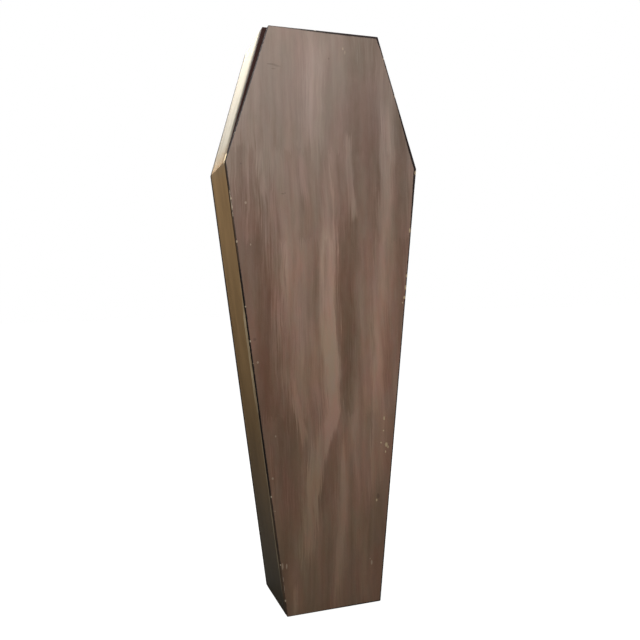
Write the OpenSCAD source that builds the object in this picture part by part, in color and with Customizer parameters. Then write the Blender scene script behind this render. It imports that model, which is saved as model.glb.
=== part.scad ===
// Six-sided wooden coffin standing upright on its foot end.
// A plain board box, open at the front, closed by a loose lid of the same outline.
// Origin: centre of the footprint, on the ground. +Z is up, the lid faces -Y,
// and left and right are as seen by someone who faces the lid. Millimetres.

/* [Outline] */
// Height of the coffin, foot end to head end
height = 1830; // [1600:5:2200]
// Height of the shoulders, the widest place, above the ground
shoulder_height = 1413; // [1100:1:1500]
// Width across the head end
head_width = 376; // [300:1:460]
// Width across the shoulders
shoulder_width = 634; // [500:1:760]
// Width across the foot end
foot_width = 318; // [260:1:420]
// Depth over the lid and the back board
depth = 266; // [220:1:400]

/* [Boards] */
// Thickness of the lid
lid_t = 18; // [9:0.5:25]
// Thickness of the back board
back_t = 18; // [9:0.5:25]
// Thickness of the side and shoulder boards
side_t = 18; // [9:0.5:25]
// Thickness of the head and foot boards
end_t = 18; // [9:0.5:25]

/* [Lid] */
// How far the lid's upper left corner is cut short of the box's corner
lid_head_short = 14; // [0:1:16]

/* [Edges] */
// Width that the arrises and the corners are eased by
ease = 2; // [0.5:0.25:4]

/* [Hidden] */
lid_colour = [0.42, 0.35, 0.31];
side_colour = [0.44, 0.37, 0.28];
back_colour = [0.36, 0.29, 0.23];

// The lid, the ring of boards and the back board meet face to face at these depths
y_front = -depth / 2;
y_lid = y_front + lid_t;
y_back = depth / 2;
y_panel = y_back - back_t;

// Corners of the outline as [x, z], anticlockwise seen from the front. Each one
// also names the edge that starts there, which runs on to the next corner
FOOT_LEFT = 0;
FOOT_RIGHT = 1;
HEAD_RIGHT = 3;
HEAD_LEFT = 4;
SHOULDER_LEFT = 5;

function coffin_outline(left_short) = [
    [-foot_width / 2, 0],
    [foot_width / 2, 0],
    [shoulder_width / 2, shoulder_height],
    [head_width / 2, height],
    [-head_width / 2 + left_short, height],
    [-shoulder_width / 2, shoulder_height]
];

// Direction of the edge that starts at corner i, and the normal that points inwards
function along(p, i) =
    let (d = p[(i + 1) % len(p)] - p[i])
    d / norm(d);

function inwards(p, i) =
    let (d = along(p, i))
    [-d.y, d.x];

// The point where the line through a along u meets the line through b along v
function meeting(a, u, b, v) = a + u * cross(b - a, v) / cross(u, v);

// The outline p with each edge i moved inwards by t[i]
function inset(p, t) = [
    for (i = [0 : len(p) - 1])
        let (h = (i + len(p) - 1) % len(p))
        meeting(p[h] + t[h] * inwards(p, h), along(p, h), p[i] + t[i] * inwards(p, i), along(p, i))
];

// The two ends of the blunted corner i of the outline p, in order
function blunt_ends(p, i) = [
    p[i] - ease * along(p, (i + len(p) - 1) % len(p)),
    p[i] + ease * along(p, i)
];

outer = coffin_outline(0);
lid_outline = coffin_outline(lid_head_short);
// Inner faces of the long boards carried on to both ends, and the hollow itself
lined = inset(outer, [0, side_t, side_t, 0, side_t, side_t]);
hollow = inset(outer, [end_t, side_t, side_t, end_t, side_t, side_t]);
// The mitre between the side and shoulder boards starts midway on the blunted corner
shoulder_ends = blunt_ends(outer, SHOULDER_LEFT);
mitre_start = (shoulder_ends[0] + shoulder_ends[1]) / 2;

// An upright prism: the [x, z] outline p between two depths
module upright(p, y_from, y_to) {
    translate([0, y_to, 0])
        rotate([90, 0, 0])
            linear_extrude(y_to - y_from)
                polygon(p);
}

// Bars that take the sharp arris off the named edges of the outline p at depth y,
// on a face that looks along -Y (facing = -1) or +Y (facing = 1)
module arris_cuts(p, edges, y, facing) {
    inner = ease / sqrt(2);
    // Half the width of a bar, past the edges of the cut on both sides
    reach = 1.5 * ease;
    for (i = edges) {
        d = along(p, i);
        run = norm(p[(i + 1) % len(p)] - p[i]);
        translate([p[i].x, y, p[i].y])
            rotate([0, -atan2(d.y, d.x), 0])
                rotate([facing * 45, 0, 0])
                    translate([-ease, -reach, -ease])
                        cube([run + 2 * ease, 2 * reach, ease + inner]);
    }
}

// A full panel with blunted corners and eased arrises on both faces
module panel(p, y_from, y_to) {
    all_edges = [0 : len(p) - 1];
    difference() {
        upright([for (i = all_edges) each blunt_ends(p, i)], y_from, y_to);
        arris_cuts(p, all_edges, y_from, -1);
        arris_cuts(p, all_edges, y_to, 1);
    }
}

// A board of the ring between the lid and the back board. p is its section,
// and edges are those of the outer outline that it carries
module ring_board(p, edges) {
    difference() {
        upright(p, y_lid, y_panel);
        arris_cuts(outer, edges, y_lid, -1);
        arris_cuts(outer, edges, y_panel, 1);
    }
}

module lid() {
    color(lid_colour)
        panel(lid_outline, y_front, y_lid);
}

module back_board() {
    color(back_colour)
        panel(outer, y_panel, y_back);
}

// Between the shoulder boards
module head_board() {
    section = [lined[HEAD_RIGHT], lined[HEAD_LEFT], hollow[HEAD_LEFT], hollow[HEAD_RIGHT]];
    color(side_colour)
        ring_board(section, [HEAD_RIGHT]);
}

// Between the side boards
module foot_board() {
    section = [lined[FOOT_LEFT], lined[FOOT_RIGHT], hollow[FOOT_RIGHT], hollow[FOOT_LEFT]];
    color(side_colour)
        ring_board(section, [FOOT_LEFT]);
}

// From the ground to the mitre at the shoulder
module left_side_board() {
    section = [
        mitre_start, shoulder_ends[1],
        each blunt_ends(outer, FOOT_LEFT),
        lined[FOOT_LEFT], lined[SHOULDER_LEFT]
    ];
    color(side_colour)
        ring_board(section, [SHOULDER_LEFT, FOOT_LEFT]);
}

// From the mitre at the shoulder to the head end
module left_shoulder_board() {
    section = [
        each blunt_ends(outer, HEAD_LEFT),
        shoulder_ends[0], mitre_start,
        lined[SHOULDER_LEFT], lined[HEAD_LEFT]
    ];
    color(side_colour)
        ring_board(section, [HEAD_RIGHT, HEAD_LEFT]);
}

module right_side_board() {
    mirror([1, 0, 0])
        left_side_board();
}

module right_shoulder_board() {
    mirror([1, 0, 0])
        left_shoulder_board();
}

lid();
back_board();
head_board();
foot_board();
left_side_board();
right_side_board();
left_shoulder_board();
right_shoulder_board();
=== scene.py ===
"""The looks of a plain six-sided wooden coffin that stands on its foot end.

Metres, in the frame of the CAD model: +Z is up, the lid faces -Y, and the origin is the
centre of the footprint. Left and right are as seen by someone who faces the lid.
"""
import math
import random
from functools import cached_property

import bpy
from mathutils import Matrix, Vector, geometry, noise


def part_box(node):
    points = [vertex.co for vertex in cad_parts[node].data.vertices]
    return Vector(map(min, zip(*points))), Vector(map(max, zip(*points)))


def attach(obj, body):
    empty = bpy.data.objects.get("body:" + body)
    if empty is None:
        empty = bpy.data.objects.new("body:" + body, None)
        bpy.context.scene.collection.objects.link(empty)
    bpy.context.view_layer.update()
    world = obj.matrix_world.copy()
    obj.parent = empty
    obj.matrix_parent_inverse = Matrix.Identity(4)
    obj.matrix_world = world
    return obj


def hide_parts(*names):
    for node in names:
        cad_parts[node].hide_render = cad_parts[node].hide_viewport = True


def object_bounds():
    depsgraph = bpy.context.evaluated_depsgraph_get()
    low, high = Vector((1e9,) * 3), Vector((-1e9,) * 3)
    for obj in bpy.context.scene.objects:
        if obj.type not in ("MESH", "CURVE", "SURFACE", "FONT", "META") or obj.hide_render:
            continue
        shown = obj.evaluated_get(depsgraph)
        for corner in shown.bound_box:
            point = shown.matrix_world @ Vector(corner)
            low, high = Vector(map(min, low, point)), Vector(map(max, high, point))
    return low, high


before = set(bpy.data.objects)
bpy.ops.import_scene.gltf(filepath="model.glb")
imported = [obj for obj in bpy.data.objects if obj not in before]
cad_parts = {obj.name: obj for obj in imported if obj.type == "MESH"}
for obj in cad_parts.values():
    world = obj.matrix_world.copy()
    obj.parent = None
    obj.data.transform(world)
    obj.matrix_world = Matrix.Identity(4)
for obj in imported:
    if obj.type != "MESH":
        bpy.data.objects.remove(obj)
CAD_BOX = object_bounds()

BODY = "root"
MM = 0.001
HEIGHT = CAD_BOX[1].z

# ---------------------------------------------------------------- camera and light

CAMERA_AT = (-0.726, -2.202, 0.992)
CAMERA_HEADING = math.radians(18.62)     # from +Y towards +X
CAMERA_PITCH = math.radians(-1.71)
CAMERA_ROLL = math.radians(-1.28)
CAMERA_LENS = 39.0

# name: place, the point it is turned to, side in metres, watts, colour
LIGHTS = {
    "overhead": ((-0.39, 0.11, 2.35), (-0.2, 0.0, 1.2), 0.8, 38.0, (1.0, 0.99, 0.97)),
    "front_soft": ((-0.99, -2.16, 2.51), (0.0, 0.0, 1.3), 1.6, 62.0, (1.0, 0.98, 0.95)),
    "back_card": ((-0.30, 2.40, 2.65), (-0.25, 0.0, 1.6), 1.0, 14.0, (0.96, 0.98, 1.0)),
    "right_fill": ((2.50, 1.50, 2.10), (0.0, 0.0, 0.95), 1.6, 55.0, (1.0, 1.0, 1.0)),
    "front_card": ((0.15, -2.35, 2.70), (-0.1, 0.0, 1.7), 0.6, 3.5, (0.97, 1.0, 1.0)),
}
WORLD_SEEN = 1.0
WORLD_LIGHT = 0.12
FLOOR_COLOUR = (0.20, 0.20, 0.19, 1.0)
# the floor's glow for the camera, from under the coffin to past its shadow, and those distances
FLOOR_GLOW = (0.92, 1.0)
FLOOR_GLOW_AWAY = (0.5, 1.8)
FLOOR_REACH = 40.0


def make_camera():
    heading, pitch = CAMERA_HEADING, CAMERA_PITCH
    ahead = Vector((
        math.sin(heading) * math.cos(pitch),
        math.cos(heading) * math.cos(pitch),
        math.sin(pitch),
    ))
    right = Vector((math.cos(heading), -math.sin(heading), 0.0))
    up = right.cross(ahead)
    turn = Matrix((right, up, -ahead)).transposed() @ Matrix.Rotation(CAMERA_ROLL, 3, "Z")
    data = bpy.data.cameras.new("camera")
    data.lens = CAMERA_LENS
    data.sensor_width = 36.0
    camera = bpy.data.objects.new("camera", data)
    camera.matrix_world = Matrix.Translation(CAMERA_AT) @ turn.to_4x4()
    bpy.context.collection.objects.link(camera)
    bpy.context.scene.camera = camera


def make_lights():
    for name, (place, target, side, watts, colour) in LIGHTS.items():
        data = bpy.data.lights.new(name, "AREA")
        data.size = side
        data.energy = watts
        data.color = colour
        lamp = bpy.data.objects.new(name, data)
        aim = Vector(target) - Vector(place)
        lamp.matrix_world = Matrix.Translation(place) @ aim.to_track_quat("-Z", "Y").to_matrix().to_4x4()
        lamp.visible_camera = False
        bpy.context.collection.objects.link(lamp)


def seen_or_light(tree, seen, light):
    """A value that is `seen` where the camera looks and `light` for everything else."""
    path = tree.nodes.new("ShaderNodeLightPath")
    pick = tree.nodes.new("ShaderNodeMapRange")
    pick.inputs["To Min"].default_value = light
    pick.inputs["To Max"].default_value = seen
    tree.links.new(path.outputs["Is Camera Ray"], pick.inputs["Value"])
    return pick.outputs["Result"]


def make_world():
    world = bpy.data.worlds.new("studio")
    world.use_nodes = True
    tree = world.node_tree
    background = tree.nodes["Background"]
    background.inputs["Color"].default_value = (1.0, 1.0, 1.0, 1.0)
    tree.links.new(seen_or_light(tree, WORLD_SEEN, WORLD_LIGHT), background.inputs["Strength"])
    bpy.context.scene.world = world
    bpy.context.scene.view_settings.view_transform = "Standard"


def make_floor():
    mesh = bpy.data.meshes.new("floor")
    signs = ((-1, -1), (1, -1), (1, 1), (-1, 1))
    mesh.from_pydata([(FLOOR_REACH * x, FLOOR_REACH * y, 0) for x, y in signs], [], [(0, 1, 2, 3)])
    floor = bpy.data.objects.new("floor", mesh)
    floor.location.z = -0.5 * MM
    material = bpy.data.materials.new("floor")
    material.use_nodes = True
    tree = material.node_tree
    shader = tree.nodes["Principled BSDF"]
    shader.inputs["Base Color"].default_value = FLOOR_COLOUR
    shader.inputs["Roughness"].default_value = 0.9
    shader.inputs["Specular IOR Level"].default_value = 0.1
    shader.inputs["Emission Color"].default_value = (1.0, 1.0, 1.0, 1.0)
    place = tree.nodes.new("ShaderNodeTexCoord")
    away = tree.nodes.new("ShaderNodeVectorMath")
    away.operation = "LENGTH"
    sweep = tree.nodes.new("ShaderNodeMapRange")
    sweep.interpolation_type = "SMOOTHSTEP"
    sweep.inputs["From Min"].default_value, sweep.inputs["From Max"].default_value = FLOOR_GLOW_AWAY
    sweep.inputs["To Min"].default_value, sweep.inputs["To Max"].default_value = FLOOR_GLOW
    glow = tree.nodes.new("ShaderNodeMath")
    glow.operation = "MULTIPLY"
    tree.links.new(place.outputs["Object"], away.inputs[0])
    tree.links.new(away.outputs["Value"], sweep.inputs["Value"])
    tree.links.new(sweep.outputs["Result"], glow.inputs[0])
    tree.links.new(seen_or_light(tree, 1.0, 0.0), glow.inputs[1])
    tree.links.new(glow.outputs[0], shader.inputs["Emission Strength"])
    mesh.materials.append(material)
    bpy.context.collection.objects.link(floor)


# ---------------------------------------------------------------- outlines from the frame

SHORTEST_EDGE = 6 * MM       # shorter edges of a CAD section are blunted corners


def section(node):
    """The sharp corners (x, z) of a CAD board's section, anticlockwise seen from the front."""
    flat = [Vector((v.co.x, v.co.z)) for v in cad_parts[node].data.vertices]
    hull = [flat[i] for i in geometry.convex_hull_2d(flat)]
    area = sum(a.x * b.y - b.x * a.y for a, b in zip(hull, hull[1:] + hull[:1]))
    if area < 0:
        hull.reverse()
    edges = []
    for a, b in zip(hull, hull[1:] + hull[:1]):
        if (b - a).length < SHORTEST_EDGE:
            continue
        if edges:
            c, d = edges[-1]
            if abs((d - c).normalized().cross((b - a).normalized())) < 0.002:
                edges[-1] = (c, b)
                continue
        edges.append((a, b))
    corners = []
    for (a, b), (c, d) in zip([edges[-1]] + edges[:-1], edges):
        corners.append(geometry.intersect_line_line(
            a.to_3d(), b.to_3d(), c.to_3d(), d.to_3d())[0].to_2d())
    return corners


COFFIN = section("back_board")
SHOULDER = max(COFFIN, key=lambda corner: corner.x).y
ON_OUTLINE = 1.5 * MM        # an edge this close to the coffin's outline is part of it


def on_outside(a, b):
    """Whether the edge from a to b lies on the coffin's own outline."""
    middle = (a + b) / 2
    for c, d in zip(COFFIN, COFFIN[1:] + COFFIN[:1]):
        near, along = geometry.intersect_point_line(middle, c, d)
        if 0 <= along <= 1 and (near - middle).length < ON_OUTLINE:
            return True
    return False


# ---------------------------------------------------------------- boards

ARC_STEPS = 6
CORNER_STEPS = 7
SUPPORT = 2.5 * MM           # from the end of an arris to the next row on the edge
FACE_GAP = 0.4 * MM          # least distance from an arris to the next row on the face
TINY = 0.01 * MM
CHIP_ON_EDGE = 0.35          # share of a chip's baring that reaches the edge's first row


class Wear:
    """How a board's front and back arrises and its corners are rounded, by radius, and
    chipped. A chip is its place x, z on the outline, how far it reaches and its depth."""

    def __init__(self, seed, front, back, corner, chips=(), random_chips=0):
        self.seed = seed
        self.front = front
        self.back = back
        self.corner = corner
        self.chips = list(chips)
        self.random_chips = random_chips

    def scatter(self, corners):
        """Adds small chips at random places along the outline."""
        rng = random.Random(self.seed)
        edges = list(zip(corners, corners[1:] + corners[:1]))
        lengths = [(b - a).length for a, b in edges]
        for _ in range(self.random_chips):
            a, b = rng.choices(edges, lengths)[0]
            place = a.lerp(b, rng.random())
            self.chips.append((place.x, place.y, rng.uniform(2, 6) * MM, rng.uniform(0.5, 1.8) * MM))

    def wobble(self, p, per_metre, shift=0.0):
        """Smooth noise from about -1 to 1 along the outline."""
        return noise.noise(Vector((p.x * per_metre, p.y * per_metre, self.seed + shift)))

    def chip_depth(self, p):
        """How deep the chips reach in at the outline point p."""
        depth = 0.0
        for x, z, reach, deep in self.chips:
            away = math.hypot(p.x - x, p.y - z) / reach
            if away < 1:
                ragged = 1 + 0.35 * noise.noise(Vector((p.x, p.y, self.seed)) * 450)
                depth = max(depth, deep * ragged * (1 - away * away))
        return depth

    def radius(self, p, base):
        """The worn radius of an arris at the outline point p."""
        return base * (1 + 0.25 * self.wobble(p, 90) + 0.35 * self.wobble(p, 9, shift=5))


def offset_corner(corners, i, inset):
    """Corner i of the outline after every edge has moved inwards by inset."""
    before = (corners[i] - corners[i - 1]).normalized()
    after = (corners[(i + 1) % len(corners)] - corners[i]).normalized()
    n0 = Vector((-before.y, before.x))
    n1 = Vector((-after.y, after.x))
    return corners[i] + (n0 + n1) * (inset / (1 + n0.dot(n1)))


def ring_samples(corners, step):
    """The places round an outline: ("corner", i, 0..1) on an arc or ("edge", i, 0..1)."""
    samples = []
    for i, corner in enumerate(corners):
        samples += [("corner", i, k / CORNER_STEPS) for k in range(CORNER_STEPS + 1)]
        length = (corners[(i + 1) % len(corners)] - corner).length
        count = max(2, round(length / step))
        samples += [("edge", i, k / count) for k in range(1, count)]
    return samples


def ring_point(corners, sample, inset, radius):
    """Where a sample lies on the outline moved inwards by inset, with corners of that radius."""
    kind, i, part = sample

    def arc(j, outward):
        centre = offset_corner(corners, j, max(radius, inset + TINY))
        return centre + outward * max(radius - inset, TINY)

    def outward(j):
        along = (corners[(j + 1) % len(corners)] - corners[j]).normalized()
        return Vector((along.y, -along.x))

    if kind == "corner":
        start, end = outward(i - 1 if i else len(corners) - 1), outward(i)
        return arc(i, start.slerp(end, part))
    side = outward(i)
    return arc(i, side).lerp(arc((i + 1) % len(corners), side), part)


def board_rows(depths, front, back, chips, face_insets, side_rows):
    """The rows of a board's points, from the front face over the edge to the back face.
    A row holds (inset, y, bare) for each place round the outline."""
    y_front, y_back = depths
    rows = []
    for inset in face_insets:
        rows.append([(max(inset, r + FACE_GAP), y_front, 0.0) for r in front])
    for k in range(ARC_STEPS + 1):
        turn = k / ARC_STEPS * math.pi / 2
        rows.append([(r * (1 - math.sin(turn)), y_front + r * (1 - math.cos(turn)), c / MM)
                     for r, c in zip(front, chips)])
    for k in range(side_rows):
        part = k / (side_rows - 1)
        rows.append([(0.0,
                      (y_front + f + SUPPORT) * (1 - part) + (y_back - b - SUPPORT) * part,
                      c / MM * CHIP_ON_EDGE if k == 0 else 0.0)
                     for f, b, c in zip(front, back, chips)])
    for k in range(ARC_STEPS, -1, -1):
        turn = k / ARC_STEPS * math.pi / 2
        rows.append([(r * (1 - math.sin(turn)), y_back - r * (1 - math.cos(turn)), 0.0) for r in back])
    for inset in reversed(face_insets):
        rows.append([(max(inset, r + FACE_GAP), y_back, 0.0) for r in back])
    return rows


def closed_faces(around, row_count):
    """A face over the first row, quads between the rows and a face over the last row."""
    faces = [tuple(range(around))]
    for k in range(row_count - 1):
        for u in range(around):
            v = (u + 1) % around
            faces.append((k * around + u, (k + 1) * around + u, (k + 1) * around + v, k * around + v))
    last = (row_count - 1) * around
    faces.append(tuple(range(last + around - 1, last - 1, -1)))
    return faces


def board_mesh(name, corners, depths, wear, step, face_insets, side_rows):
    """A prism along Y with worn arrises, and which of its rows of faces are on the front,
    the edge and the back. Its points carry `inset`, how far in from the outline they lie,
    and `bare`, how much of the paint a chip has taken off. They stay in the CAD box."""
    wear.scatter(corners)
    samples = ring_samples(corners, step)
    rims = [ring_point(corners, s, 0.0, 0.0) for s in samples]
    chips = [wear.chip_depth(p) for p in rims]
    front = [wear.radius(p, wear.front) + c for p, c in zip(rims, chips)]
    back = [wear.radius(p, wear.back) for p in rims]
    rows = board_rows(depths, front, back, chips, face_insets, side_rows)

    points, insets, bare = [], [], []
    for row in rows:
        for sample, (inset, y, off) in zip(samples, row):
            p = ring_point(corners, sample, inset, wear.corner)
            points.append((min(max(p.x, CAD_BOX[0].x), CAD_BOX[1].x), y, max(p.y, CAD_BOX[0].z)))
            insets.append(inset)
            bare.append(off)
    faces = closed_faces(len(samples), len(rows))

    mesh = bpy.data.meshes.new(name)
    mesh.from_pydata(points, [], faces)
    for label, values in (("inset", insets), ("bare", bare)):
        layer = mesh.attributes.new(label, "FLOAT", "POINT")
        layer.data.foreach_set("value", values)
    mesh.polygons.foreach_set("use_smooth", [True] * len(mesh.polygons))
    first_arc, across_edge = len(face_insets), ARC_STEPS * 2 + side_rows + 1
    strips = {
        "samples": samples,
        "front": range(first_arc),
        "edge": range(first_arc + ARC_STEPS // 2, first_arc + across_edge),
        "back": range(first_arc + across_edge, len(rows) - 1),
    }
    return mesh, strips


def add_board(node, mesh, strips, corners, paints, hidden_face=None):
    """Puts a board in place of its CAD node. Its paints are those of the outside, of the
    faces that look into the box and, where it differs, of the board's edge."""
    board = bpy.data.objects.new(node + "_worn", mesh)
    bpy.context.collection.objects.link(board)
    for paint in paints:
        mesh.materials.append(paint)
    inside = [not hidden_face and not on_outside(corners[i], corners[(i + 1) % len(corners)])
              for i in range(len(corners))]
    indices = [0] * len(mesh.polygons)
    for number in range(1, len(mesh.polygons) - 1):
        row, u = divmod(number - 1, len(strips["samples"]))
        _, i, _ = strips["samples"][u]
        on_edge = row in strips["edge"]
        if on_edge and len(paints) > 2:
            indices[number] = 2
        elif (on_edge and inside[i]) or (hidden_face and row in strips[hidden_face]):
            indices[number] = 1
    if hidden_face:
        indices[0 if hidden_face == "front" else -1] = 1
    mesh.polygons.foreach_set("material_index", indices)
    mesh.update()
    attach(board, BODY)
    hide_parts(node)


# ---------------------------------------------------------------- materials

def srgb(red, green, blue):
    """A colour from 0 to 255 values as the eye sees them, in linear light."""
    return tuple(
        c / 12.92 if c <= 0.04045 else ((c + 0.055) / 1.055) ** 2.4
        for c in (red / 255, green / 255, blue / 255)
    ) + (1.0,)


class Paint:
    """Short calls that add nodes to one material."""

    def __init__(self, name):
        self.material = bpy.data.materials.new(name)
        self.material.use_nodes = True
        self.tree = self.material.node_tree
        self.shader = self.tree.nodes["Principled BSDF"]
        self.place = self.add("ShaderNodeTexCoord").outputs["Object"]
        split = self.add("ShaderNodeSeparateXYZ", self.place)
        self.x, self.y, self.z = split.outputs

    @cached_property
    def ragged(self):
        """Fine noise that frays the outlines of marks."""
        return self.noise(self.place, (260, 260, 200), 3.0, 0.6)

    def add(self, kind, *values, **settings):
        node = self.tree.nodes.new(kind)
        for key, value in settings.items():
            setattr(node, key, value)
        for socket, value in zip(node.inputs, values):
            self.put(socket, value)
        return node

    def put(self, socket, value):
        if isinstance(value, bpy.types.NodeSocket):
            self.tree.links.new(value, socket)
        elif value is not None:
            socket.default_value = value

    def math(self, operation, a, b=None, c=None, clamp=False):
        return self.add("ShaderNodeMath", a, b, c, operation=operation, use_clamp=clamp).outputs[0]

    def scaled(self, vector, scale, shift=(0.0, 0.0, 0.0)):
        node = self.add("ShaderNodeVectorMath", vector, scale, shift, operation="MULTIPLY_ADD")
        return node.outputs[0]

    def noise(self, vector, scale, detail=2.0, rough=0.5, shift=(0.0, 0.0, 0.0), distort=0.0):
        """Noise from 0 to 1, with cells 1/scale metres long each way."""
        node = self.add("ShaderNodeTexNoise")
        self.put(node.inputs["Vector"], self.scaled(vector, scale, shift))
        node.inputs["Scale"].default_value = 1.0
        node.inputs["Detail"].default_value = detail
        node.inputs["Roughness"].default_value = rough
        node.inputs["Distortion"].default_value = distort
        return node.outputs["Fac"]

    def step(self, value, low, high, to_low=0.0, to_high=1.0):
        """Eases from to_low to to_high as value goes from low to high."""
        node = self.add("ShaderNodeMapRange", value, low, high, to_low, to_high)
        node.interpolation_type = "SMOOTHSTEP"
        return node.outputs["Result"]

    def window(self, value, low, high, soft):
        """1 while value lies from low to high, with ends that ease over soft."""
        rise = self.step(value, low - soft / 2, low + soft / 2)
        return self.math("MULTIPLY", rise, self.step(value, high + soft / 2, high - soft / 2))

    def mix(self, factor, a, b, blend="MIX"):
        node = self.tree.nodes.new("ShaderNodeMix")
        node.data_type = "RGBA"
        node.blend_type = blend
        self.put(node.inputs[0], factor)
        self.put(node.inputs[6], a)
        self.put(node.inputs[7], b)
        return node.outputs[2]

    def vector(self, x, y, z):
        return self.add("ShaderNodeCombineXYZ", x, y, z).outputs[0]

    def attribute(self, name):
        return self.add("ShaderNodeAttribute", attribute_name=name).outputs["Fac"]

    def spot(self, x, z, wide, high, soft=0.5):
        """1 inside a ragged oval on a face that looks along Y, 0 outside it."""
        here = self.scaled(self.place, (1 / wide, 0.0, 1 / high), (-x / wide, 0.0, -z / high))
        away = self.add("ShaderNodeVectorMath", here, operation="LENGTH").outputs["Value"]
        away = self.math("MULTIPLY_ADD", self.ragged, 0.9, self.math("SUBTRACT", away, 0.45))
        return self.step(away, 1.0 + soft / 2, 1.0 - soft / 2)

    def spots(self, places):
        """1 inside any of the ovals (x, z, wide, high)."""
        mask = 0.0
        for place in places:
            mask = self.math("MAXIMUM", self.spot(*place), mask)
        return mask

    def curve(self, value, points):
        """A smooth curve through points whose coordinates all lie from 0 to 1."""
        node = self.add("ShaderNodeFloatCurve", 1.0, value)
        line = node.mapping.curves[0]
        while len(line.points) < len(points):
            line.points.new(0.5, 0.5)
        for point, place in zip(line.points, sorted(points)):
            point.location = place
        node.mapping.update()
        return node.outputs[0]

    def stroke(self, path, half_width, soft_left, soft_right, tip):
        """1 along a brush stroke that follows path, a list of (z, x); soft sides are in
        half widths and tip is the length of its ragged ends. It frays with brush_x and
        bristle_push, which are set before it."""
        heights = [z for z, _ in path]
        along = self.math("DIVIDE", self.z, HEIGHT)
        across = self.curve(along, [(z / HEIGHT, 0.5 + x) for z, x in path])
        off = self.math("ADD", self.math("SUBTRACT", self.brush_x, across), 0.5)
        off = self.math("MULTIPLY_ADD", off, 1 / half_width, self.bristle_push)
        left = self.step(off, -1 - soft_left, -1 + soft_left)
        right = self.step(off, 1 + soft_right, 1 - soft_right)
        z = self.math("MULTIPLY_ADD", self.bristle_push, tip, self.z)
        top = self.step(z, max(heights) + tip / 2, max(heights) - tip / 2)
        foot = self.step(z, min(heights) - tip / 2, min(heights) + tip / 2)
        sides = self.math("MULTIPLY", left, right)
        return self.math("MULTIPLY", sides, self.math("MULTIPLY", top, foot))

    def finish(self, colour, roughness, height, lift):
        """Joins the colour, roughness and relief; lift is the relief's height in metres."""
        self.put(self.shader.inputs["Base Color"], colour)
        self.put(self.shader.inputs["Roughness"], roughness)
        bump = self.add("ShaderNodeBump")
        bump.inputs["Strength"].default_value = 1.0
        bump.inputs["Distance"].default_value = lift
        self.put(bump.inputs["Height"], height)
        self.put(self.shader.inputs["Normal"], bump.outputs["Normal"])
        return self.material


# the lid's face, from the foot up: darker at the foot as painted shade, greyer at the head as painted
# sheen; and how thin and thick glaze changes it
LID_FOOT_PAINTED_SHADE = srgb(116, 93, 74)
LID_MIDDLE = srgb(137, 111, 94)
LID_HEAD_PAINTED_SHEEN = srgb(130, 114, 103)
THIN_GLAZE = (0.535, 0.458, 0.408, 1.0)
THICK_GLAZE = (1.44, 1.505, 1.61, 1.0)
LID_BORDER = srgb(34, 20, 18)
LID_SMUDGE = srgb(50, 32, 28)
LID_SPECK = srgb(168, 150, 132)
# the lid's edge; the near-black on its left and along the joint is painted shade of the open joint
# between lid and box
LID_EDGE_LEFT_PAINTED_SHADE = srgb(18, 13, 11)
LID_EDGE_RIGHT = srgb(52, 38, 31)
LID_EDGE_RUBBED = srgb(98, 79, 60)
JOINT_PAINTED_SHADE = srgb(16, 11, 10)
# the boards between the lid and the back board: darker at the foot as painted shade, grey-cream above
# the shoulder as painted sheen
SIDE_FOOT_PAINTED_SHADE = srgb(47, 37, 18)
SIDE_MIDDLE = srgb(163, 131, 90)
SIDE_HEAD_PAINTED_SHEEN = srgb(133, 125, 108)
SIDE_DARK = (0.80, 0.78, 0.76, 1.0)
SIDE_LIGHT = (1.18, 1.18, 1.20, 1.0)
# painted shade on the front of the shoulder boards beside the lid
SIDE_PAINTED_SHADE = srgb(17, 12, 10)
SIDE_RIM = srgb(50, 33, 30)
SIDE_HANDLED = srgb(214, 194, 158)
# the back board and the bare boards
BACK_DARK = srgb(80, 64, 50)
BACK_LIGHT = srgb(110, 92, 74)
BACK_EDGE = srgb(34, 25, 20)
BOARD_DARK = srgb(150, 116, 78)
BOARD_LIGHT = srgb(198, 168, 124)
# wood where the paint is off
PALE_WOOD = srgb(180, 159, 128)
GREY_WOOD = srgb(168, 154, 134)
LID_EDGE_WOOD = srgb(158, 142, 122)
SIDE_WOOD = srgb(176, 158, 128)
# slow shifts of the glaze's hue: how large the patches are in noise cells per metre, the
# shift of their pattern, the ends that noise picks between, and the two tints
HUES = (
    ((8, 8, 3.0), 0.55, (2, 2, 2), (0.30, 0.70), (0.968, 1.004, 0.98, 1.0), (1.05, 0.985, 0.995, 1.0)),
    ((34, 34, 8), 0.6, (6, 0, 3), (0.32, 0.68), (0.972, 1.022, 1.025, 1.0), (1.055, 0.962, 0.965, 1.0)),
    ((26, 26, 9), 0.6, (0, 3, 8), (0.32, 0.68), (1.012, 1.008, 1.05, 1.0), (0.988, 0.992, 0.95, 1.0)),
)
# heights between which the left arrises are rubbed bare, and the side is rubbed pale
LID_RUBBED = (1.24, 1.33)
SIDE_RUBBED = (0.64, 0.97)
HANDLED = (0.66, 0.97)

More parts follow.
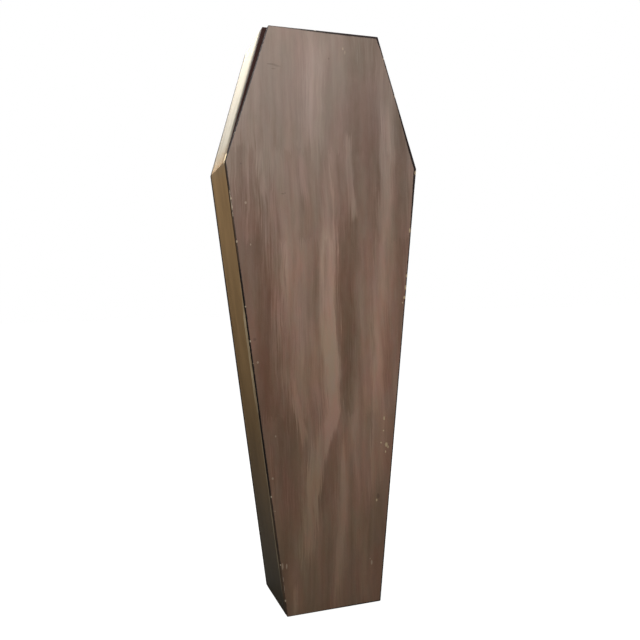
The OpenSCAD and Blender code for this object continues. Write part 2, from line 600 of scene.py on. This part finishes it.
# The strokes that stand out on the lid: path (z, x) from the top down, half width, how soft
# the left and right sides are, length of the ragged tips, how much lighter or darker.
LID_STROKES = (
    (((1.80, -0.01), (1.58, -0.035), (1.46, -0.005)), 0.034, 0.8, 0.5, 0.10, 0.22),
    (((1.42, 0.0), (1.27, 0.008), (1.16, 0.01)), 0.022, 0.9, 0.2, 0.12, 0.34),
    (((1.20, 0.0), (0.95, 0.0), (0.64, 0.003), (0.51, -0.045), (0.39, -0.07), (0.17, -0.095)),
     0.027, 0.8, 0.15, 0.10, 0.46),
    (((1.51, 0.08), (1.30, 0.09), (1.25, 0.096)), 0.011, 0.5, 0.4, 0.03, 0.38),
    (((1.60, 0.215), (1.40, 0.21), (1.15, 0.185), (0.95, 0.172), (0.62, 0.165), (0.38, 0.15)),
     0.022, 0.3, 0.9, 0.10, 0.28),
    (((1.45, -0.215), (1.30, -0.20)), 0.012, 0.6, 0.5, 0.06, 0.28),
    (((1.45, -0.08), (1.31, -0.07)), 0.014, 0.6, 0.3, 0.06, 0.22),
    (((1.20, -0.115), (0.93, -0.105)), 0.032, 0.6, 0.5, 0.14, 0.12),
    (((0.92, -0.05), (0.66, -0.05)), 0.030, 0.9, 0.6, 0.12, 0.18),
    (((0.76, -0.13), (0.64, -0.11), (0.55, -0.092)), 0.012, 0.4, 0.3, 0.08, 0.34),
    (((0.60, 0.065), (0.26, 0.025), (0.03, 0.01)), 0.016, 0.8, 0.5, 0.16, 0.30),
    (((0.72, 0.10), (0.33, 0.11)), 0.026, 0.7, 0.9, 0.12, 0.22),
    (((0.38, -0.06), (0.15, -0.07)), 0.020, 0.8, 0.5, 0.14, 0.12),
    (((0.30, 0.09), (0.02, 0.10)), 0.024, 0.9, 0.9, 0.12, 0.16),
    (((0.09, -0.125), (0.01, -0.128)), 0.008, 0.5, 0.4, 0.03, 0.26),
    (((1.25, 0.065), (0.90, 0.06), (0.62, 0.045)), 0.027, 0.3, 0.9, 0.14, -0.24),
    (((1.34, -0.26), (0.75, -0.205), (0.42, -0.160)), 0.064, 0.9, 0.7, 0.30, -0.37),
    (((1.60, 0.245), (1.42, 0.262), (0.70, 0.215)), 0.028, 0.7, 0.9, 0.20, -0.28),
    (((0.57, 0.02), (0.42, -0.01), (0.33, -0.03)), 0.022, 0.3, 0.9, 0.08, -0.26),
    (((0.42, -0.115), (0.15, -0.125)), 0.026, 0.8, 0.7, 0.12, -0.20),
    (((1.83, 0.13), (1.50, 0.15), (1.10, 0.14)), 0.045, 0.9, 0.9, 0.20, -0.18),
)
# where the brush was lifted and set down again
RESTARTS = (1.457, 1.176, 0.62)
# small marks on the lid: x, z, half width, half height
LID_CHIPS = (
    (0.313, 1.400, 0.003, 0.007), (0.289, 1.211, 0.003, 0.007), (0.275, 1.063, 0.003, 0.006),
    (0.271, 1.024, 0.004, 0.008), (0.266, 0.992, 0.005, 0.005), (0.258, 0.975, 0.002, 0.003),
    (0.190, 0.513, 0.0045, 0.007), (0.196, 0.505, 0.0025, 0.004), (0.172, 0.521, 0.0025, 0.0025),
    (0.184, 0.600, 0.0025, 0.006), (0.181, 0.560, 0.0025, 0.003), (0.187, 0.490, 0.002, 0.004),
    (0.152, 0.334, 0.0025, 0.004), (0.206, 0.420, 0.002, 0.004),
)
LID_SPECKS = (
    (0.067, 1.781, 0.003, 0.0045), (0.074, 1.770, 0.0015, 0.006), (-0.258, 1.290, 0.003, 0.004),
    (-0.246, 1.163, 0.002, 0.003), (-0.233, 0.803, 0.003, 0.004), (-0.182, 0.571, 0.002, 0.003),
    (-0.195, 0.441, 0.003, 0.004), (-0.190, 0.338, 0.002, 0.002), (-0.170, 0.162, 0.0025, 0.010),
    (-0.157, 0.160, 0.0025, 0.008), (-0.170, 0.120, 0.0025, 0.008), (-0.167, 0.090, 0.002, 0.012),
    (0.130, 0.132, 0.003, 0.007), (0.125, 0.145, 0.002, 0.002),
)
LID_SMUDGES = (
    (-0.166, 1.713, 0.016, 0.0022), (-0.150, 1.709, 0.012, 0.0016), (-0.161, 1.700, 0.007, 0.0014),
    (-0.270, 1.407, 0.003, 0.003), (-0.141, 1.320, 0.005, 0.002), (-0.133, 1.322, 0.002, 0.002),
    (0.019, 1.746, 0.002, 0.003), (-0.241, 0.874, 0.005, 0.004), (0.157, 0.347, 0.005, 0.008),
)


def lid_tone(m):
    """How light the glaze is, from 0 to 1, where the brush dragged it thin or thick."""
    waver = m.math("SUBTRACT", m.noise(m.place, (3, 3, 2.4), 2.0), 0.5)
    wobble = m.math("SUBTRACT", m.noise(m.place, (14, 14, 9), 3.0, shift=(7, 0, 0)), 0.5)
    m.brush_x = m.math("MULTIPLY_ADD", wobble, 0.016, m.math("MULTIPLY_ADD", waver, 0.02, m.x))
    m.bristles = m.noise(m.vector(m.brush_x, m.y, m.z), (280, 40, 7.0), 3.0, 0.6, shift=(0, 0, 5))
    m.bristle_push = m.math("MULTIPLY_ADD", m.bristles, 2.4, -1.2)
    lifted = m.math("MULTIPLY_ADD", m.bristle_push, 0.05, m.z)
    layer = 0.0
    for height in RESTARTS:
        layer = m.math("ADD", m.math("LESS_THAN", lifted, height), layer)
    swung = m.math("MULTIPLY_ADD", waver, 0.03, m.brush_x)
    place = m.vector(swung, m.math("MULTIPLY", layer, 0.35), m.z)
    bands = m.noise(place, (15, 1, 1.1), 2.0, 0.5)
    strokes = m.noise(place, (42, 1, 2.6), 3.0, 0.55, shift=(3, 0, 1))
    mottle = m.noise(place, (55, 1, 17), 3.0, 0.6, shift=(0, 4, 2))
    m.hairs = m.noise(place, (900, 90, 28), 2.0, 0.5)
    grit = m.noise(m.place, (420, 1, 300), 2.0, 0.7)
    tone = 0.5
    textures = (
        (bands, 0.85), (strokes, 0.55), (mottle, 0.24),
        (m.bristles, 0.24), (m.hairs, 0.10), (grit, 0.14),
    )
    for texture, share in textures:
        tone = m.math("MULTIPLY_ADD", texture, share, m.math("SUBTRACT", tone, share / 2))
    uneven = m.math("MULTIPLY", strokes, 2.0)
    for path, half_width, soft_left, soft_right, tip, lift in LID_STROKES:
        mark = m.stroke(path, half_width, soft_left, soft_right, tip)
        tone = m.math("MULTIPLY_ADD", m.math("MULTIPLY", mark, uneven), lift, tone)
    return m.math("MULTIPLY", tone, 1.0, clamp=True)


def lid_border(m, colour):
    """The glaze stops short of the arrises and leaves a dark line round the face, which is
    widest at the right shoulder and along the head and thinnest on the left."""
    from_shoulder = m.math("ABSOLUTE", m.math("SUBTRACT", m.z, SHOULDER + 7 * MM))
    shoulder = m.step(from_shoulder, 0.25, 0.0, 0.0, 5 * MM)
    shoulder = m.math("MULTIPLY", shoulder, m.step(m.x, 0.0, 0.1))
    head = m.step(m.z, HEIGHT - 0.05, HEIGHT - 0.01, 0.0, 3 * MM)
    head = m.math("MULTIPLY", head, m.step(m.x, -0.16, 0.0))
    width = m.math("ADD", shoulder, head)
    thin = m.step(m.x, -0.1, 0.1, -0.8 * MM, 1.0 * MM)
    width = m.math("ADD", width, m.math("MULTIPLY_ADD", m.ragged, 4 * MM, thin))
    border = m.step(m.math("SUBTRACT", m.attribute("inset"), width), 0.0, 2.0 * MM, 1.0, 0.0)
    return m.mix(border, colour, LID_BORDER)


def front_arris(m, front):
    """1 on the rounded arris between a board's front face and its edge."""
    near_face = m.step(m.math("SUBTRACT", m.y, front), 2.4 * MM, 1.0 * MM)
    return m.math("MULTIPLY", near_face, m.step(m.attribute("inset"), 2.4 * MM, 1.2 * MM))


def chipped_wood(m):
    """1 where chips have taken the paint off."""
    return m.step(m.math("MULTIPLY_ADD", m.ragged, 0.8, m.attribute("bare")), 0.9, 1.2)


def worn_wood(m, worn):
    """1 where chips, and rubbing where worn is 1, have taken the paint off."""
    rubbed = m.step(m.math("MULTIPLY", worn, m.ragged), 0.38, 0.50)
    return m.math("MAXIMUM", chipped_wood(m), rubbed)


def left_stretch(m, heights, soft):
    """1 on the left of the coffin between two heights."""
    return m.math("MULTIPLY", m.window(m.z, *heights, soft), m.step(m.x, 0.0, -0.1))


def glaze_colour(m):
    """The glaze, darker and redder where it is thin, greyer where it is thick."""
    along = m.math("DIVIDE", m.z, HEIGHT)
    # the lid darkens towards the foot as painted shade and greys towards the head as painted sheen
    body = m.mix(m.step(along, 0.08, 0.5), LID_FOOT_PAINTED_SHADE, LID_MIDDLE)
    body = m.mix(m.step(along, 0.45, 0.95), body, LID_HEAD_PAINTED_SHEEN)
    colour = m.mix(1.0, body, m.mix(lid_tone(m), THIN_GLAZE, THICK_GLAZE), "MULTIPLY")
    # the broad patches are the same all over, the smaller ones fade towards the head
    lower = m.step(m.z, 1.75, 0.80, 0.35, 1.0)
    for strength, (cells, rough, shift, ends, one, other) in zip((1.0, lower, lower), HUES):
        hue = m.step(m.noise(m.place, cells, 3.0, rough, shift=shift), *ends)
        colour = m.mix(strength, colour, m.mix(hue, one, other), "MULTIPLY")
    return colour


def lid_paint():
    """Grey-brown glaze dragged lengthwise over dark red-brown paint."""
    m = Paint("lid_paint")
    colour = glaze_colour(m)
    colour = m.mix(m.math("MULTIPLY", m.spots(LID_SMUDGES), 0.32), colour, LID_SMUDGE)
    colour = m.mix(m.math("MULTIPLY", m.spots(LID_SPECKS), 0.55), colour, LID_SPECK)
    colour = lid_border(m, colour)
    worn = left_stretch(m, LID_RUBBED, 0.03)
    worn = m.math("MULTIPLY", worn, front_arris(m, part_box("lid")[0].y))
    bare = m.math("MAXIMUM", worn_wood(m, worn), m.spots(LID_CHIPS))
    colour = m.mix(bare, colour, m.mix(m.step(m.x, -0.1, 0.1), GREY_WOOD, PALE_WOOD))
    rough = m.math("MULTIPLY_ADD", bare, 0.3, m.math("MULTIPLY_ADD", m.bristles, 0.20, 0.36))
    relief = m.math("MULTIPLY_ADD", m.hairs, 0.5, m.bristles)
    relief = m.math("MULTIPLY_ADD", bare, -3.0, relief)
    return m.finish(colour, rough, relief, 0.12 * MM)


def lid_edge_paint():
    """Matt dark paint on the lid's edge, with near-black painted shade of the open joint on the left and
    along the joint.
    """
    m = Paint("lid_edge")
    m.shader.inputs["Specular IOR Level"].default_value = 0.1
    streaks = m.noise(m.place, (90, 200, 7), 3.0, 0.6)
    # rubbed lighter brown on the left, below the shoulder and near the foot; between these heights the
    # left stays near-black as painted shade
    height = m.math("MULTIPLY_ADD", m.ragged, 0.06, m.math("SUBTRACT", m.z, 0.03))
    rubbed = m.math("ADD", m.window(height, 1.10, SHOULDER - 3 * MM, 0.06), m.step(height, 0.46, 0.32))
    rubbed = m.math("MULTIPLY", rubbed, m.step(m.x, 0.0, -0.1))
    # the near-black on the left is painted shade of the open joint
    dark = m.mix(m.step(m.x, -0.1, 0.1), LID_EDGE_LEFT_PAINTED_SHADE, LID_EDGE_RIGHT)
    colour = m.mix(m.math("MULTIPLY", rubbed, m.step(streaks, 0.3, 0.6)), dark, LID_EDGE_RUBBED)
    # painted shade: a near-black band along the joint with the box
    from_joint = m.math("SUBTRACT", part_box("lid")[1].y, m.y)
    frayed = m.math("MULTIPLY_ADD", m.ragged, 6 * MM, from_joint)
    colour = m.mix(m.step(frayed, 7.5 * MM, 5.5 * MM), colour, JOINT_PAINTED_SHADE)
    worn = m.math("MULTIPLY", left_stretch(m, LID_RUBBED, 0.03), m.step(frayed, 16 * MM, 20 * MM))
    colour = m.mix(worn_wood(m, worn), colour, LID_EDGE_WOOD)
    return m.finish(colour, 0.8, streaks, 0.15 * MM)


def shoulder_painted_shade(m, behind):
    """Painted shade on the front of the shoulder boards: darkest beside the lid and fading back over
    about 70 mm, above the shoulder only and weaker just above it.
    """
    frayed = m.math("MULTIPLY_ADD", m.ragged, 12 * MM, m.math("SUBTRACT", behind, 6 * MM))
    near_lid_shade = m.step(frayed, 4 * MM, 72 * MM, 0.98, 0.0)
    near_lid_shade = m.math("MULTIPLY", near_lid_shade, m.step(m.z, SHOULDER - 13 * MM, SHOULDER + 17 * MM))
    return m.math("MULTIPLY", near_lid_shade, m.step(m.z, SHOULDER + 27 * MM, SHOULDER + 167 * MM, 0.5, 1.0))


def handled_strip(m, behind, mottle):
    """How pale hands have rubbed the boards beside the joint, with a knock at the shoulder."""
    handled = m.window(m.z, *HANDLED, 0.08)
    frayed = m.math("MULTIPLY_ADD", m.ragged, 8 * MM, behind)
    frayed = m.math("MULTIPLY_ADD", handled, -14 * MM, frayed)
    strip = m.math("MULTIPLY", m.step(behind, 0.0, 2 * MM), m.step(frayed, 19 * MM, 15 * MM))
    reach = m.math("MULTIPLY", m.window(m.z, 0.06, 1.06, 0.10), 0.35)
    reach = m.math("MULTIPLY_ADD", handled, 0.55, reach)
    strip = m.math("MULTIPLY", strip, m.math("MULTIPLY", reach, m.step(mottle, 0.25, 0.6)))
    knock = m.spot(-0.315, SHOULDER + 15 * MM, 0.008, 0.018)
    knock = m.math("MULTIPLY", knock, m.step(behind, 26 * MM, 8 * MM))
    return m.math("MULTIPLY", m.math("MAXIMUM", strip, knock), m.step(m.x, 0.1, -0.1, 0.4, 1.0))


def side_paint():
    """Olive-brown paint brushed along the boards."""
    m = Paint("side_paint")
    m.shader.inputs["Specular IOR Level"].default_value = 0.12
    bands = m.noise(m.place, (30, 22, 1.4), 2.0)
    bristles = m.noise(m.place, (330, 330, 6.0), 3.0, 0.6)
    mottle = m.noise(m.place, (40, 40, 9), 3.0, 0.6)
    tone = m.math("MULTIPLY_ADD", bands, 0.5, m.math("MULTIPLY", bristles, 0.25))
    tone = m.step(m.math("MULTIPLY_ADD", mottle, 0.25, tone), 0.3, 0.7)
    # darker towards the foot as painted shade, grey-cream above the shoulder as painted sheen
    body = m.mix(m.step(m.z, -0.1, 1.05), SIDE_FOOT_PAINTED_SHADE, SIDE_MIDDLE)
    body = m.mix(m.step(m.z, SHOULDER - 53 * MM, SHOULDER + 87 * MM), body, SIDE_HEAD_PAINTED_SHEEN)
    colour = m.mix(1.0, body, m.mix(tone, SIDE_DARK, SIDE_LIGHT), "MULTIPLY")
    rim_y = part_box("left_side_board")[0].y
    behind = m.math("SUBTRACT", m.y, rim_y)
    # painted shade on the shoulder boards beside the lid, where the paint is also made rougher
    near_lid_shade = shoulder_painted_shade(m, behind)
    colour = m.mix(near_lid_shade, colour, SIDE_PAINTED_SHADE)
    rim = m.math("MULTIPLY_ADD", m.ragged, -3 * MM, behind)
    colour = m.mix(m.step(rim, -1.0 * MM, 1.5 * MM, 1.0, 0.0), colour, SIDE_RIM)
    colour = m.mix(handled_strip(m, behind, mottle), colour, SIDE_HANDLED)
    worn = m.math("MULTIPLY", left_stretch(m, SIDE_RUBBED, 0.05), front_arris(m, rim_y))
    colour = m.mix(worn_wood(m, worn), colour, SIDE_WOOD)
    rough = m.math("MULTIPLY_ADD", bristles, 0.15, 0.42)
    rough = m.math("MULTIPLY_ADD", near_lid_shade, 0.5, rough)
    return m.finish(colour, rough, bristles, 0.10 * MM)


def back_paint():
    """One thin matt coat of brown over the board's grain."""
    m = Paint("back_paint")
    bands = m.noise(m.place, (18, 18, 1.0), 3.0)
    grain = m.noise(m.place, (240, 240, 5.0), 4.0, 0.6)
    tone = m.math("ADD", m.math("MULTIPLY", bands, 0.6), m.math("MULTIPLY", grain, 0.4))
    colour = m.mix(m.step(tone, 0.3, 0.7), BACK_DARK, BACK_LIGHT)
    edge = m.step(m.attribute("inset"), 0.1 * MM, 1.5 * MM, 1.0, 0.0)
    colour = m.mix(edge, colour, BACK_EDGE)
    colour = m.mix(chipped_wood(m), colour, PALE_WOOD)
    rough = m.math("MULTIPLY_ADD", grain, 0.15, 0.60)
    return m.finish(colour, rough, grain, 0.15 * MM)


def bare_board():
    """Unpainted board inside the box."""
    m = Paint("bare_board")
    warp = m.noise(m.place, (9, 9, 1.3), 2.0)
    swing = m.math("MULTIPLY", warp, 0.06)
    place = m.vector(m.math("ADD", m.x, swing), m.math("ADD", m.y, swing), m.z)
    rings = m.noise(place, (70, 70, 1.6), 3.0, 0.55)
    pores = m.noise(m.place, (700, 700, 24), 2.0)
    tone = m.math("ADD", m.math("MULTIPLY", rings, 0.8), m.math("MULTIPLY", pores, 0.2))
    colour = m.mix(m.step(tone, 0.3, 0.7), BOARD_DARK, BOARD_LIGHT)
    rough = m.math("MULTIPLY_ADD", pores, 0.1, 0.65)
    return m.finish(colour, rough, pores, 0.1 * MM)


# ---------------------------------------------------------------- the coffin

RING_BOARDS = (
    "head_board", "foot_board", "left_side_board", "right_side_board",
    "left_shoulder_board", "right_shoulder_board",
)
# knocks on the lid's left arris: x, z, reach along the edge, depth
LEFT_ARRIS_CHIPS = (
    (-0.304, 1.302, 5 * MM, 1.5 * MM), (-0.301, 1.276, 7 * MM, 1.2 * MM),
    (-0.290, 1.172, 4 * MM, 1.6 * MM), (-0.268, 0.975, 3 * MM, 1.2 * MM),
    (-0.256, 0.868, 5 * MM, 1.0 * MM), (-0.248, 0.800, 2 * MM, 1.2 * MM),
    (-0.202, 0.382, 4 * MM, 1.5 * MM), (-0.178, 0.165, 3 * MM, 1.3 * MM),
)


def build():
    bare = bare_board()
    corners = section("lid")
    low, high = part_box("lid")
    wear = Wear(seed=11, front=1.6 * MM, back=2.5 * MM, corner=3 * MM,
                chips=LEFT_ARRIS_CHIPS, random_chips=8)
    mesh, strips = board_mesh("lid", corners, (low.y, high.y), wear, step=2.5 * MM, side_rows=3,
                              face_insets=[45 * MM, 24 * MM, 14 * MM, 8 * MM, 4.5 * MM])
    paints = (lid_paint(), bare, lid_edge_paint())
    add_board("lid", mesh, strips, corners, paints, "back")

    corners = section("back_board")
    low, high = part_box("back_board")
    wear = Wear(seed=23, front=2.0 * MM, back=1.6 * MM, corner=3 * MM, random_chips=8)
    mesh, strips = board_mesh("back_board", corners, (low.y, high.y), wear, step=4 * MM, side_rows=3,
                              face_insets=[45 * MM, 14 * MM, 5 * MM])
    add_board("back_board", mesh, strips, corners, (back_paint(), bare), "front")

    side = side_paint()
    for number, node in enumerate(RING_BOARDS):
        corners = section(node)
        low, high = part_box(node)
        wear = Wear(seed=31 + number, front=1.4 * MM, back=1.6 * MM, corner=1.2 * MM)
        mesh, strips = board_mesh(node, corners, (low.y, high.y), wear, step=4 * MM, side_rows=12,
                                  face_insets=[7 * MM, 4 * MM])
        add_board(node, mesh, strips, corners, (side, bare))


make_camera()
make_lights()
make_world()
make_floor()
build()
